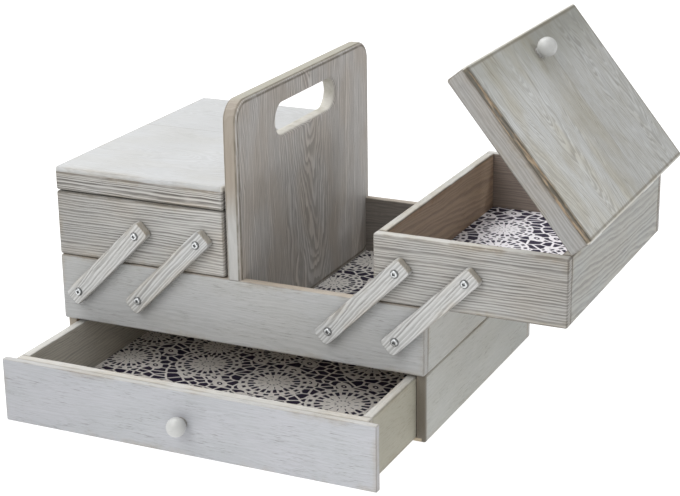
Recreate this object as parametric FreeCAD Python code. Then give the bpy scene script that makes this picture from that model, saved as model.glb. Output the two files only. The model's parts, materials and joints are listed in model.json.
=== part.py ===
import FreeCAD
import Part
import math
import os

# A wooden sewing box with a drawer, a fixed middle box and two trays that swing out on wooden arms.
# Millimetres, +Z up, +X to the right, the drawer pulls out towards -Y.
# The origin is on the table, under the middle of the box. The pieces are written as they stand with
# the left tray shut, the right tray swung out with its lid raised, and the drawer part way out.

# ---- driving dimensions: the box ----
BOX_W = 320.0            # across
BOX_D = 243.0            # front to back
WALL = 8.0               # softwood boards
PLY = 3.0                # plywood bottoms
LIP = 2.4                # board left under a bottom's groove
GROOVE = 4.0             # depth of a bottom's groove
CARD = 0.6               # printed lining
CARD_GAP = 0.3           # between a lining and the boards round it
ARRIS = 2.0              # rounded outer edges
RIM_ARRIS = 0.8          # rounded inner edges of a rim
CASE_H = 55.8            # drawer case
CASE_FLOOR = 2.7         # plywood under the drawer, in rabbets
CASE_RECESS = 5.0        # the case starts this far behind the front of the box
MIDDLE_H = 55.2          # fixed middle box, which stands on the case

# ---- driving dimensions: handle board ----
HANDLE_T = 12.5
HANDLE_TOP = 253.0
HANDLE_CORNER = 17.0     # radius of the two top corners
HANDLE_ROUND = 3.2       # its long edges
GRIP_L = 110.0           # hand hole, over its round ends
GRIP_H = 26.0
GRIP_Z = 222.0
GRIP_ROUND = 3.0

# ---- driving dimensions: trays, lids and arms ----
TRAY_W = 152.0
TRAY_H = 53.4
TRAY_LIFT = 0.6          # a resting tray clears the rim below it by this much
LID_H = 19.5
LID_TOP = 4.0            # the lid's panel, glued over its rails
LID_GAP = 0.9
LID_REST_DEG = 51.0      # how far the right lid stands open
ARM_RISE = 54.1          # between an arm's two pivots, upwards
ARM_RUN = 55.25          # and sideways, which is also the distance between two arms
ARM_W = 15.4
ARM_T = 6.4
ARM_END = 10.2           # wood past a pivot
ARM_CORNER = 3.6
ARM_ARRIS = 0.9
PIVOT_Z = 84.0           # lower pivots

# ---- driving dimensions: drawer ----
DRAWER_FRONT_T = 5.2
DRAWER_FRONT_Z = (0.6, 52.7)
DRAWER_BOX_Z = (3.1, 52.7)
DRAWER_SIDE_GAP = 0.7
DRAWER_BACK_GAP = 1.0
DRAWER_SHUT_GAP = 0.3    # between a shut drawer's front and the case
DRAWER_OUT = 88.0        # how far the drawer stands out

# ---- driving dimensions: fittings ----
KNOB_BALL = 7.6          # radius
KNOB_FOOT = 4.8
KNOB_NECK = 4.2
KNOB_REACH = 8.2         # from the surface to the middle of the ball
LID_KNOB_INSET = 19.5    # from the lid's free edge
KNOB_BITE = 8.0          # length of screw inside a knob
PIVOT_SHANK = 1.5        # radius of a pivot screw
PIVOT_HOLE = 1.58        # radius of the hole that turns on it
PIVOT_HEAD = 3.0
PIVOT_HEAD_H = 1.5
PIVOT_BITE = 7.0         # length of screw inside a board
HANDLE_SCREWS_Y = (-75.0, 0.0, 75.0)
HANDLE_BITE = 18.0       # length of screw inside the handle board
SUNK_HEAD = 3.6          # radius of a countersunk head
SUNK_HEAD_H = 2.0
WASHER_R = 4.0
WASHER_T = 1.0
PLAY = 0.3               # end play of an arm between washer and screw head
HINGE_Y = 70.0           # two hinges on each lid, this far from the middle
HINGE_W = 28.0
HINGE_AXIS_OUT = 2.0     # the pin's distance outside the tray's face
LEAF_T = 0.8
LEAF_REACH = 6.5         # leaf over the board
LEAF_GAP = 0.4           # between two shut leaves
BARREL = 1.7
PIN = 0.9
PIN_PLAY = 0.05
KNUCKLE_GAP = 0.3
KNUCKLE = (HINGE_W - 2 * KNUCKLE_GAP) / 3
SMALL_HEAD = 1.7         # hinge screws
SMALL_SHANK = 0.8
SMALL_LENGTH = 7.0

# ---- places that follow from them ----
HALF_W = BOX_W / 2
FRONT = -BOX_D / 2
BACK = BOX_D / 2
RIM_Z = CASE_H + MIDDLE_H
TRAY_Z = RIM_Z + TRAY_LIFT
TRAY_RIM_Z = TRAY_Z + TRAY_H
LID_Z = TRAY_RIM_Z + LID_GAP
LID_RAIL_Z = LID_Z + LID_H - LID_TOP
ARM_L = math.hypot(ARM_RISE, ARM_RUN)
ARM_LEAN_DEG = math.degrees(math.atan2(ARM_RUN, ARM_RISE))
TRAY_TRAVEL = 2 * ARM_RUN
OUTER_PIVOT_X = -HALF_W + TRAY_W / 2 - ARM_RUN
INNER_PIVOT_X = OUTER_PIVOT_X + ARM_RUN
HINGE_X = -HALF_W - HINGE_AXIS_OUT
HINGE_Z = TRAY_RIM_Z + LID_GAP / 2

X = FreeCAD.Vector(1, 0, 0)
Y = FreeCAD.Vector(0, 1, 0)
Z = FreeCAD.Vector(0, 0, 1)
ORIGIN = FreeCAD.Vector(0, 0, 0)

# Each face of a board, as its axis and whether it is the low or the high end.
FACES = {"left": (0, 0), "right": (0, 1), "front": (1, 0), "back": (1, 1), "bottom": (2, 0), "top": (2, 1)}
ALL_ROUND = ("front top", "front bottom", "front left", "front right",
             "left top", "right top", "left bottom", "right bottom")


# ---- joinery ----

def at(x, y, z):
    return FreeCAD.Vector(x, y, z)


def span_box(x, y, z):
    """A plain block between a low and a high value on each axis."""
    return Part.makeBox(x[1] - x[0], y[1] - y[0], z[1] - z[0], at(x[0], y[0], z[0]))


def inset(span, by):
    """A span made shorter at both ends."""
    return (span[0] + by, span[1] - by)


def board(x, y, z, arrises=(), rims=()):
    """A board whose named edges are rounded: arrises by ARRIS, rims by RIM_ARRIS."""
    shape = span_box(x, y, z)
    spans = (x, y, z)
    for names, radius in ((arrises, ARRIS), (rims, RIM_ARRIS)):
        chosen = [edge for edge in shape.Edges if lies_on(edge, spans, names)]
        if chosen:
            shape = shape.makeFillet(radius, chosen)
    return shape


def lies_on(edge, spans, names):
    """Whether an edge is where two named faces of a board meet."""
    middle = edge.CenterOfMass
    for name in names:
        faces = [FACES[word] for word in name.split()]
        if all(abs(middle[axis] - spans[axis][end]) < 1e-6 for axis, end in faces):
            return True
    return False


def turned(names, swap):
    """The same edge names seen from another side of the box."""
    return tuple(" ".join(swap.get(word, word) for word in name.split()) for name in names)


FRONT_TO_BACK = {"front": "back", "back": "front"}
LEFT_TO_RIGHT = {"left": "right", "right": "left"}


def one(shape):
    """The single solid that a boolean operation leaves."""
    return shape.Solids[0]


def open_box(x, y, z, outside=ALL_ROUND):
    """Front and back boards over the whole width, side boards between them, and a plywood bottom let
    into grooves in all four, with a lining card on it."""
    inside_x = inset(x, WALL)
    inside_y = inset(y, WALL)
    bottom = span_box(inset(inside_x, -GROOVE), inset(inside_y, -GROOVE), (z[0] + LIP, z[0] + LIP + PLY))
    side = tuple(name for name in outside if name in ("left top", "left bottom"))
    boards = {
        "front": board(x, (y[0], inside_y[0]), z, outside, ("back top",)),
        "back": board(x, (inside_y[1], y[1]), z, turned(outside, FRONT_TO_BACK), ("front top",)),
        "left": board((x[0], inside_x[0]), inside_y, z, side, ("right top",)),
        "right": board((inside_x[1], x[1]), inside_y, z, turned(side, LEFT_TO_RIGHT), ("left top",)),
    }
    parts = {name: one(shape.cut(bottom)) for name, shape in boards.items()}
    parts["bottom"] = bottom
    parts["lining"] = span_box(inset(inside_x, CARD_GAP), inset(inside_y, CARD_GAP),
                               (z[0] + LIP + PLY, z[0] + LIP + PLY + CARD))
    return parts


def front_and_back(shapes):
    """Pieces at the front of the box, and their mirror images at the back."""
    return list(shapes) + [shape.mirror(ORIGIN, Y) for shape in shapes]


def turned_profile(points):
    """A solid turned about Z from a closed outline in the XZ plane. Three points in a tuple are an
    arc's start, middle and end; two are a straight line."""
    edges = []
    for corner in points:
        places = [at(r, 0, z) for r, z in corner]
        curve = Part.Arc(*places) if len(places) == 3 else Part.LineSegment(*places)
        edges.append(curve.toShape())
    return one(Part.Face(Part.Wire(edges)).revolve(ORIGIN, Z, 360))


# ---- fittings ----

def ball_knob():
    """A turned ball on a short neck, standing on the XY plane."""
    neck_top = KNOB_REACH - math.sqrt(KNOB_BALL ** 2 - KNOB_NECK ** 2)
    foot_h = KNOB_FOOT - KNOB_NECK
    tip = KNOB_REACH + KNOB_BALL
    bend = foot_h * (1 - math.sqrt(0.5))
    return turned_profile((
        ((0, 0), (KNOB_FOOT, 0)),
        ((KNOB_FOOT, 0), (KNOB_NECK + bend, bend), (KNOB_NECK, foot_h)),
        ((KNOB_NECK, foot_h), (KNOB_NECK, neck_top)),
        ((KNOB_NECK, neck_top), (KNOB_BALL, KNOB_REACH), (0, tip)),
        ((0, tip), (0, 0)),
    ))


def screw(shank, head, head_h, length):
    """A round-headed screw along Z: its head above the XY plane, its pointed shank below."""
    dome = head * 0.55
    slope = math.sqrt(0.5)
    point = shank * 1.5
    return turned_profile((
        ((0, -length), (shank, -length + point)),
        ((shank, -length + point), (shank, 0)),
        ((shank, 0), (head, 0)),
        ((head, 0), (head, head_h * 0.35)),
        ((head, head_h * 0.35), (dome + (head - dome) * slope, head_h * (0.35 + 0.65 * slope)), (dome, head_h)),
        ((dome, head_h), (0, head_h)),
        ((0, head_h), (0, -length)),
    ))


def cross_recess(head, head_h):
    """The two crossed slots of a screw head."""
    half_long = head * 0.52
    half_wide = head * 0.13
    deep = (head_h * 0.45, head_h + 1)
    slot = span_box((-half_long, half_long), (-half_wide, half_wide), deep)
    return slot.fuse(span_box((-half_wide, half_wide), (-half_long, half_long), deep))


def sunk_screw():
    """A countersunk screw along Z, its flat head level with the underside of the middle box's bottom."""
    length = PLY + HANDLE_BITE
    point = PIVOT_SHANK * 1.5
    return turned_profile((
        ((0, 0), (SUNK_HEAD, 0)),
        ((SUNK_HEAD, 0), (PIVOT_SHANK, SUNK_HEAD_H)),
        ((PIVOT_SHANK, SUNK_HEAD_H), (PIVOT_SHANK, length - point)),
        ((PIVOT_SHANK, length - point), (0, length)),
        ((0, length), (0, 0)),
    ))


def pivot_fitting(x, z):
    """The screw that an arm turns on and the washer behind the arm, at the front of the box."""
    stand_off = WASHER_T + ARM_T + 2 * PLAY
    pin = screw(PIVOT_SHANK, PIVOT_HEAD, PIVOT_HEAD_H, stand_off + PIVOT_BITE)
    pin = one(pin.cut(cross_recess(PIVOT_HEAD, PIVOT_HEAD_H)))
    washer = Part.makeCylinder(WASHER_R, WASHER_T).cut(Part.makeCylinder(PIVOT_SHANK, WASHER_T))
    pin.rotate(ORIGIN, X, 90)
    washer.rotate(ORIGIN, X, 90)
    return pin.translated(at(x, FRONT - stand_off, z)), one(washer.translated(at(x, FRONT, z)))


def pivot_set(places):
    """Screws and washers at the front and back of the box for every (x, z) place."""
    pins = []
    washers = []
    for x, z in places:
        pin, washer = pivot_fitting(x, z)
        pins.append(pin)
        washers.append(washer)
    return front_and_back(pins), front_and_back(washers)


def arm(low_x):
    """A flat wooden link at the front of the box, from its lower pivot up and to the right."""
    length = ARM_L + 2 * ARM_END
    link = span_box((-ARM_W / 2, ARM_W / 2), (0, ARM_T), (-ARM_END, length - ARM_END))
    upright = [edge for edge in link.Edges if abs(edge.tangentAt(edge.FirstParameter).y) > 0.5]
    link = link.makeFillet(ARM_CORNER, upright)
    outline = [edge for edge in link.Edges if edge.BoundBox.YMax < 1e-6]
    link = link.makeFillet(ARM_ARRIS, outline)
    for z in (0, ARM_L):
        link = link.cut(Part.makeCylinder(PIVOT_HOLE, ARM_T, at(0, 0, z), Y))
    link.rotate(ORIGIN, Y, ARM_LEAN_DEG)
    return one(link.translated(at(low_x, FRONT - WASHER_T - PLAY - ARM_T, PIVOT_Z)))


def hinge_leaf(knuckles, rest_z, facing):
    """One leaf of a butt hinge at the left, lying on a board: a plate and its knuckles.
    facing is -1 for the tray's leaf, under the pin, and 1 for the lid's, over it."""
    near = HINGE_Z + facing * LEAF_GAP / 2
    z = (min(near, rest_z), max(near, rest_z))
    leaf = span_box((-HALF_W, -HALF_W + LEAF_REACH), (-HINGE_W / 2, HINGE_W / 2), z)
    for low, high in knuckles:
        leaf = leaf.fuse(span_box((HINGE_X, -HALF_W + 1), (low, high), z))
        leaf = leaf.fuse(Part.makeCylinder(BARREL, high - low, at(HINGE_X, low, HINGE_Z), Y))
    return one(leaf.removeSplitter())


def hinge(y):
    """The pieces of one butt hinge on the left lid, centred on y."""
    half = HINGE_W / 2
    ends = ((-half, -half + KNUCKLE), (half - KNUCKLE, half))
    middle = ((-KNUCKLE / 2, KNUCKLE / 2),)
    bore = Part.makeCylinder(PIN + PIN_PLAY, HINGE_W, at(HINGE_X, -half, HINGE_Z), Y)
    pin = Part.makeCylinder(PIN, HINGE_W, at(HINGE_X, -half, HINGE_Z), Y)
    tray_leaf = hinge_leaf(ends, HINGE_Z - LEAF_GAP / 2 - LEAF_T, -1).cut(bore)
    lid_leaf = hinge_leaf(middle, HINGE_Z + LEAF_GAP / 2 + LEAF_T, 1).cut(pin)
    small = screw(SMALL_SHANK, SMALL_HEAD, LEAF_GAP * 0.4, SMALL_LENGTH)
    tray_screws = []
    lid_screws = []
    for offset in (-half * 0.55, half * 0.55):
        place = at(-HALF_W + LEAF_REACH * 0.55, offset, 0)
        down = small.translated(place + Z * (HINGE_Z - LEAF_GAP / 2))
        up = small.rotated(ORIGIN, X, 180).translated(place + Z * (HINGE_Z + LEAF_GAP / 2))
        tray_screws.append(down)
        lid_screws.append(up)
        tray_leaf = tray_leaf.cut(down)
        lid_leaf = lid_leaf.cut(up)
    pieces = {"tray_leaf": [one(tray_leaf)], "lid_leaf": [one(lid_leaf)], "pin": [pin],
              "tray_screws": tray_screws, "lid_screws": lid_screws}
    return {name: [shape.translated(at(0, y, 0)) for shape in shapes] for name, shapes in pieces.items()}


# ---- the fixed body ----

def drawer_case():
    """Two sides and a back on a plywood floor, open at the front."""
    z = (0, CASE_H)
    side_y = (FRONT + CASE_RECESS, BACK - WALL)
    floor = span_box((-HALF_W + GROOVE, HALF_W - GROOVE), (side_y[0], side_y[1] + GROOVE), (0, CASE_FLOOR))
    outside = ("left top", "left bottom", "front left")
    left = board((-HALF_W, -HALF_W + WALL), side_y, z, outside)
    back = board((-HALF_W, HALF_W), (BACK - WALL, BACK), z, turned(ALL_ROUND, FRONT_TO_BACK))
    left = one(left.cut(floor))
    return {"case_left": left, "case_right": left.mirror(ORIGIN, X),
            "case_back": one(back.cut(floor)), "case_floor": floor}


def handle_board():
    """An upright board across the middle box, notched over its front and back boards, with its upper
    edges rounded over and a hand hole near the top."""
    low = CASE_H + LIP + PLY
    shoulder = FRONT + WALL
    bend = HANDLE_CORNER * (1 - math.sqrt(0.5))
    corner = FRONT + HANDLE_CORNER
    under = HANDLE_TOP - HANDLE_CORNER
    half = [
        Part.LineSegment(at(0, 0, low), at(0, shoulder, low)),
        Part.LineSegment(at(0, shoulder, low), at(0, shoulder, RIM_Z)),
        Part.LineSegment(at(0, shoulder, RIM_Z), at(0, FRONT, RIM_Z)),
        Part.LineSegment(at(0, FRONT, RIM_Z), at(0, FRONT, under)),
        Part.Arc(at(0, FRONT, under), at(0, FRONT + bend, HANDLE_TOP - bend), at(0, corner, HANDLE_TOP)),
        Part.LineSegment(at(0, corner, HANDLE_TOP), at(0, 0, HANDLE_TOP)),
    ]
    edges = [curve.toShape() for curve in half]
    edges += [edge.mirror(ORIGIN, Y) for edge in edges]
    blank = Part.Face(Part.Wire(Part.sortEdges(edges)[0])).extrude(X * HANDLE_T)
    blank = blank.translated(X * (-HANDLE_T / 2)).removeSplitter()
    rounded = [edge for edge in blank.Edges if on_outer_outline(edge)]
    blank = blank.makeFillet(HANDLE_ROUND, rounded)
    grip = span_box((-HANDLE_T, HANDLE_T), inset((-GRIP_L / 2, GRIP_L / 2), GRIP_H / 2),
                    (GRIP_Z - GRIP_H / 2, GRIP_Z + GRIP_H / 2))
    for y in inset((-GRIP_L / 2, GRIP_L / 2), GRIP_H / 2):
        grip = grip.fuse(Part.makeCylinder(GRIP_H / 2, 2 * HANDLE_T, at(-HANDLE_T, y, GRIP_Z), X))
    blank = blank.cut(grip.removeSplitter())
    mouth = [edge for edge in blank.Edges if in_grip_mouth(edge)]
    return one(blank.makeFillet(GRIP_ROUND, mouth))


def on_outer_outline(edge):
    """Whether an edge runs round one of the board's two faces, above the rim of the middle box."""
    box = edge.BoundBox
    return box.XLength < 1e-6 and box.ZMin > RIM_Z - 1e-6 and box.ZMax > RIM_Z + 1


def in_grip_mouth(edge):
    """Whether an edge runs round the hand hole, on one of the board's two faces."""
    box = edge.BoundBox
    flat = box.XLength < 1e-6 and abs(abs(box.XMax) - HANDLE_T / 2) < 1e-6
    near = abs(box.YMin) < GRIP_L / 2 + 1 and abs(box.YMax) < GRIP_L / 2 + 1
    return flat and near and box.ZMin > GRIP_Z - GRIP_H / 2 - 1 and box.ZMax < GRIP_Z + GRIP_H / 2 + 1


def base():
    """Everything that stands still: the drawer case, the middle box on it, and the handle board."""
    parts = drawer_case()
    middle = open_box((-HALF_W, HALF_W), (FRONT, BACK), (CASE_H, RIM_Z))
    handle = handle_board()
    places = [(x, PIVOT_Z) for x in (OUTER_PIVOT_X, INNER_PIVOT_X, -INNER_PIVOT_X, -OUTER_PIVOT_X)]
    pins, washers = pivot_set(places)
    for pin in pins:
        name = "front" if pin.CenterOfMass.y < 0 else "back"
        middle[name] = one(middle[name].cut(pin))
    lining = middle["lining"].cut(span_box(inset((-HANDLE_T / 2, HANDLE_T / 2), -CARD_GAP),
                                           (FRONT, BACK), (CASE_H, RIM_Z)))
    middle["lining"] = Part.makeCompound(lining.Solids)
    screws = [sunk_screw().translated(at(0, y, CASE_H + LIP)) for y in HANDLE_SCREWS_Y]
    for shape in screws:
        middle["bottom"] = one(middle["bottom"].cut(shape))
        handle = one(handle.cut(shape))
    parts.update({"middle_" + name: shape for name, shape in middle.items()})
    parts["handle_board"] = handle
    parts["handle_screws"] = Part.makeCompound(screws)
    parts["middle_pivots"] = Part.makeCompound(pins + washers)
    return parts


# ---- the drawer ----

def drawer():
    """A grooved box behind an overlaid front, part way out of the case."""
    shut_back = FRONT + CASE_RECESS - DRAWER_SHUT_GAP
    inner = shut_back - DRAWER_OUT
    half = HALF_W - WALL - DRAWER_SIDE_GAP
    box_y = (inner, BACK - WALL - DRAWER_BACK_GAP - DRAWER_OUT)
    box = open_box((-half, half), box_y, DRAWER_BOX_Z, ("left top",))
    front_y = inner - DRAWER_FRONT_T
    front = board((-HALF_W, HALF_W), (front_y, inner), DRAWER_FRONT_Z, (), ALL_ROUND)
    middle_z = sum(DRAWER_FRONT_Z) / 2
    knob = ball_knob()
    bolt = screw(PIVOT_SHANK, PIVOT_HEAD, PIVOT_HEAD_H, WALL + DRAWER_FRONT_T + KNOB_BITE)
    knob.rotate(ORIGIN, X, 90)
    bolt.rotate(ORIGIN, X, -90)
    knob = knob.translated(at(0, front_y, middle_z))
    bolt = bolt.translated(at(0, inner + WALL, middle_z))
    box["box_front"] = one(box.pop("front").cut(bolt))
    box["front"] = one(front.cut(bolt))
    box["knob"] = one(knob.cut(bolt))
    box["knob_screw"] = bolt
    return {"drawer_" + name: shape for name, shape in box.items()}


# ---- trays and lids, as the left ones stand shut ----

def tray(hinges):
    """A grooved box with the lower hinge leaves let into its outer board."""
    x = (-HALF_W, -HALF_W + TRAY_W)
    box = open_box(x, (FRONT, BACK), (TRAY_Z, TRAY_RIM_Z))
    places = [(pivot + ARM_RUN, PIVOT_Z + ARM_RISE) for pivot in (OUTER_PIVOT_X, INNER_PIVOT_X)]
    pins, washers = pivot_set(places)
    for pin in pins:
        name = "front" if pin.CenterOfMass.y < 0 else "back"
        box[name] = one(box[name].cut(pin))
    fittings = [shape for one_hinge in hinges for shape in one_hinge["tray_leaf"] + one_hinge["tray_screws"]]
    outer = box.pop("left")
    for shape in fittings:
        outer = outer.cut(shape)
    box["outer"] = one(outer)
    box["inner"] = box.pop("right")
    box["pivots"] = Part.makeCompound(pins + washers)
    box["hinge_leaves"] = Part.makeCompound(fittings)
    return box


def lid(hinges):
    """Four rails under a panel that covers them, with a ball knob near the free edge."""
    x = (-HALF_W, -HALF_W + TRAY_W)
    y = (FRONT, BACK)
    z = (LID_Z, LID_RAIL_Z)
    inside_x = inset(x, WALL)
    inside_y = inset(y, WALL)
    corners = ("front left", "front right", "back left", "back right")
    front = board(x, (y[0], inside_y[0]), z, ("front bottom", "left bottom", "right bottom") + corners[:2])
    outer = board((x[0], inside_x[0]), inside_y, z, ("left bottom",))
    inner = board((inside_x[1], x[1]), inside_y, z, ("right bottom",))
    top = board(x, y, (LID_RAIL_Z, LID_RAIL_Z + LID_TOP),
                ("front top", "back top", "left top", "right top") + corners)
    fittings = [shape for one_hinge in hinges for shape in one_hinge["lid_leaf"] + one_hinge["lid_screws"]]
    for shape in fittings:
        outer = outer.cut(shape)
    knob_x = x[1] - LID_KNOB_INSET
    bolt = screw(PIVOT_SHANK, PIVOT_HEAD, PIVOT_HEAD_H, LID_TOP + KNOB_BITE)
    bolt = bolt.rotated(ORIGIN, X, 180).translated(at(knob_x, 0, LID_RAIL_Z))
    knob = ball_knob().translated(at(knob_x, 0, LID_RAIL_Z + LID_TOP))
    return {
        "top": one(top.cut(bolt)),
        "cross_rails": Part.makeCompound(front_and_back([front])),
        "side_rails": Part.makeCompound([one(outer), inner]),
        "knob": one(knob.cut(bolt)),
        "knob_screw": bolt,
        "hinge_leaves": Part.makeCompound(fittings),
        "hinge_pins": Part.makeCompound([shape for one_hinge in hinges for shape in one_hinge["pin"]]),
    }


def swung_out(shape):
    """A left-hand tray piece as the right tray carries it, swung out."""
    return shape.mirror(ORIGIN, X).translated(X * TRAY_TRAVEL)


def raised(shape):
    """A swung-out lid piece turned up about its hinge pins."""
    shape = shape.copy()
    shape.rotate(at(TRAY_TRAVEL - HINGE_X, 0, HINGE_Z), Y, LID_REST_DEG)
    return shape


def upper_works():
    """Both trays with their lids, and the eight arms."""
    hinges = [hinge(y) for y in (-HINGE_Y, HINGE_Y)]
    parts = {}
    for name, shape in tray(hinges).items():
        parts["left_tray_" + name] = shape
        parts["right_tray_" + name] = swung_out(shape)
    for name, shape in lid(hinges).items():
        parts["left_lid_" + name] = shape
        parts["right_lid_" + name] = raised(swung_out(shape))
    arms = {"left_outer": OUTER_PIVOT_X, "left_inner": INNER_PIVOT_X,
            "right_inner": -INNER_PIVOT_X, "right_outer": -OUTER_PIVOT_X}
    for name, low_x in arms.items():
        front, back = front_and_back([arm(low_x)])
        parts[name + "_arm_front"] = front
        parts[name + "_arm_back"] = back
    return parts


def main():
    os.makedirs("parts", exist_ok=True)
    parts = {}
    parts.update(base())
    parts.update(drawer())
    parts.update(upper_works())
    for name, shape in parts.items():
        shape.exportStep("parts/" + name + ".step")
        print(name, "solids", len(shape.Solids), "volume", round(shape.Volume), "valid", shape.isValid())
    print(len(parts), "nodes")


main()
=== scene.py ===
import json
import math

import bmesh
import bpy
from mathutils import Matrix, Vector


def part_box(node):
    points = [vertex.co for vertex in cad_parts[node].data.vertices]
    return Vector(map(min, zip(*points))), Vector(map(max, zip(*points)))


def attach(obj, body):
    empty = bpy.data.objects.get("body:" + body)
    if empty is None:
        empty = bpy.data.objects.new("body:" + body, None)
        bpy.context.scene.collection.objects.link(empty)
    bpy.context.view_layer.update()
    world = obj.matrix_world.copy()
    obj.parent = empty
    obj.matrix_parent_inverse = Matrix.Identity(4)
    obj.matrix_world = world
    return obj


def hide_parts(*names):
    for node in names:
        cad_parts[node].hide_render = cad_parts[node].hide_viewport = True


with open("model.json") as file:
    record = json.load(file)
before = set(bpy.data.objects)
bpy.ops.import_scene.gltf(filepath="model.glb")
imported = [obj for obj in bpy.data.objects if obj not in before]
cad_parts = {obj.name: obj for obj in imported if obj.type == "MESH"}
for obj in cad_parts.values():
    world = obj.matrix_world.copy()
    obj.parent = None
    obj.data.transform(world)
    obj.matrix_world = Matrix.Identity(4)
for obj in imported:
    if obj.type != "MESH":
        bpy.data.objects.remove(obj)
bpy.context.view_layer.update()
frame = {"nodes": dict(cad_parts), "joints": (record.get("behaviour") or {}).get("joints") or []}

# Dresses a wooden cantilever sewing box: washed and brushed softwood boards, lace-print linings,
# turned knobs and the cross-recessed screws that its arms turn on.

bl_info = {
    "name": "Cantilever Sewing Box",
    "version": (1, 0, 0),
    "blender": (4, 5, 0),
    "location": "View3D > Sidebar > Sewing Box",
    "description": "Finishes a wooden sewing box with a drawer and two swing-out trays",
    "category": "Object",
}

MM = 0.001
JOINTS = {joint["name"]: joint for joint in frame["joints"]}


# ---- places that follow from the frame ----

def joint_place(name):
    """A point of a joint's axis at rest."""
    return Vector(JOINTS[name]["pos_m"])


def half_size(node):
    """Half the size of a node's box at rest, in millimetres."""
    low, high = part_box(node)
    return (high - low) / 2 / MM


ARM_STEP = joint_place("left_tray_level") - joint_place("left_arms_swing")
ARM_LEAN = math.atan2(ARM_STEP.x, ARM_STEP.z)
LID_RAISE = math.radians(-JOINTS["right_lid_hinge"]["range_deg"][0])
RIGHT_HINGE = joint_place("right_lid_hinge")
SWING_OUT = 2 * ARM_STEP.x
BOARD_T = 2 * half_size("left_tray_front").y


def raised_lid_place():
    """What carries a point of the left lid to the same point of the right lid, swung out and raised."""
    mirror = Matrix.Translation((SWING_OUT, 0, 0)) @ Matrix.Scale(-1, 4, (1, 0, 0))
    return Matrix.Translation(RIGHT_HINGE) @ Matrix.Rotation(LID_RAISE, 4, "Y") @ \
        Matrix.Translation(-RIGHT_HINGE) @ mirror


# ---- what a user would change ----

def colour(label, value, description):
    return bpy.props.FloatVectorProperty(name=label, description=description, subtype="COLOR", size=3,
                                         min=0, max=1, default=value)


def length(label, millimetres, description):
    return bpy.props.FloatProperty(name=label, description=description, subtype="DISTANCE", unit="LENGTH",
                                   min=0, default=millimetres * MM)


def number(label, value, description, unit="NONE", low=0.0):
    return bpy.props.FloatProperty(name=label, description=description, unit=unit, min=low, max=1000.0,
                                   default=value)


class SewingBoxFinish(bpy.types.PropertyGroup):
    """Colours of the washed boards, the linings and the metal"""
    tray_pale: colour("Tray, pale", (0.451, 0.445, 0.426), "Washed early wood of trays and lids")
    tray_dark: colour("Tray, dark", (0.062, 0.056, 0.049), "Late wood lines of trays and lids")
    lid_pale: colour("Raised lid", (0.525, 0.535, 0.529), "Wash of the right lid's panel")
    lid_white: colour("Closed lid", (0.53, 0.54, 0.548), "Whiter wash of the left lid's panel")
    case_pale: colour("Case", (0.47, 0.475, 0.465), "Grey wash of the drawer case")
    middle_pale: colour("Middle box", (0.47, 0.475, 0.475), "Cooler wash of the fixed middle box")
    drawer_pale: colour("Drawer front", (0.43, 0.436, 0.462), "Blue-grey wash of the drawer's front panel")
    case_dark: colour("Case, dark", (0.300, 0.305, 0.305), "Late wood lines under those three washes")
    handle_pale: colour("Handle, pale", (0.72, 0.70, 0.68), "Brushed lines of the handle board")
    handle_dark: colour("Handle, dark", (0.397, 0.378, 0.362), "Ground of the handle board")
    arm_pale: colour("Arms, pale", (0.56, 0.565, 0.56), "Washed early wood of the arms")
    rubbed: colour("Rubbed edges", (0.115, 0.098, 0.075), "Wood that shows where the wash is rubbed off")
    bare: colour("Bare ends", (0.29, 0.25, 0.185), "Thinly washed end grain")
    inside: colour("Inside faces", (0.47, 0.355, 0.255), "Thinly washed inner faces of tray walls and case")
    # The rims' cream is partly their wash and partly a painted highlight of the light on top faces.
    rim: colour("Rims", (0.56, 0.55, 0.52), "Cream upper edges of the open boxes")
    thread: colour("Lace", (0.92, 0.90, 0.94), "Printed lace")
    ground: colour("Lace ground", (0.016, 0.010, 0.036), "Print behind the lace")
    zinc: colour("Zinc", (0.72, 0.74, 0.75), "Plated screws and hinges")


class SewingBoxFittings(bpy.types.PropertyGroup):
    """Sizes of the turned knobs and the pivot screws"""
    ball: length("Knob ball radius", 7.6, "Radius of a knob's ball")
    reach: length("Knob reach", 8.2, "From the board to the middle of the ball")
    neck: length("Knob neck radius", 4.2, "Radius of a knob's neck")
    foot: length("Knob foot radius", 4.9, "Radius of the collar at a knob's foot")
    head: length("Screw head radius", 3.0, "Radius of a pivot screw's head")
    head_rise: length("Screw head height", 1.5, "Height of a pivot screw's head")
    shank: length("Screw shank radius", 1.5, "Radius of a pivot screw's shank")
    washer: length("Washer radius", 4.0, "Radius of the washer behind an arm")


class SewingBoxStage(bpy.types.PropertyGroup):
    """Light, floor and camera"""
    key: number("Key light", 34.5, "Power of the soft light at the upper left", "POWER")
    top: number("Top light", 39.0, "Power of the overhead light", "POWER")
    fill: number("Fill light", 2.8, "Power of the light at the right", "POWER")
    side: number("Side light", 3.3, "Power of the small light at the right and behind", "POWER")
    sky: number("Surroundings", 0.47, "Strength of the even white surroundings")
    lens: number("Lens", 93.9, "Focal length in millimetres", "CAMERA", 10.0)
    floor: colour("Floor", (0.27, 0.27, 0.27), "The floor's own colour, under its glow")
    glow: number("Floor glow", 0.93, "How much light comes up through the floor")


def finish():
    """The colours that the user has set."""
    return bpy.context.scene.sewing_box_finish


def fittings():
    """The sizes that the user has set."""
    return bpy.context.scene.sewing_box_fittings


# ---- shader building ----

SHARED = {}


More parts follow.
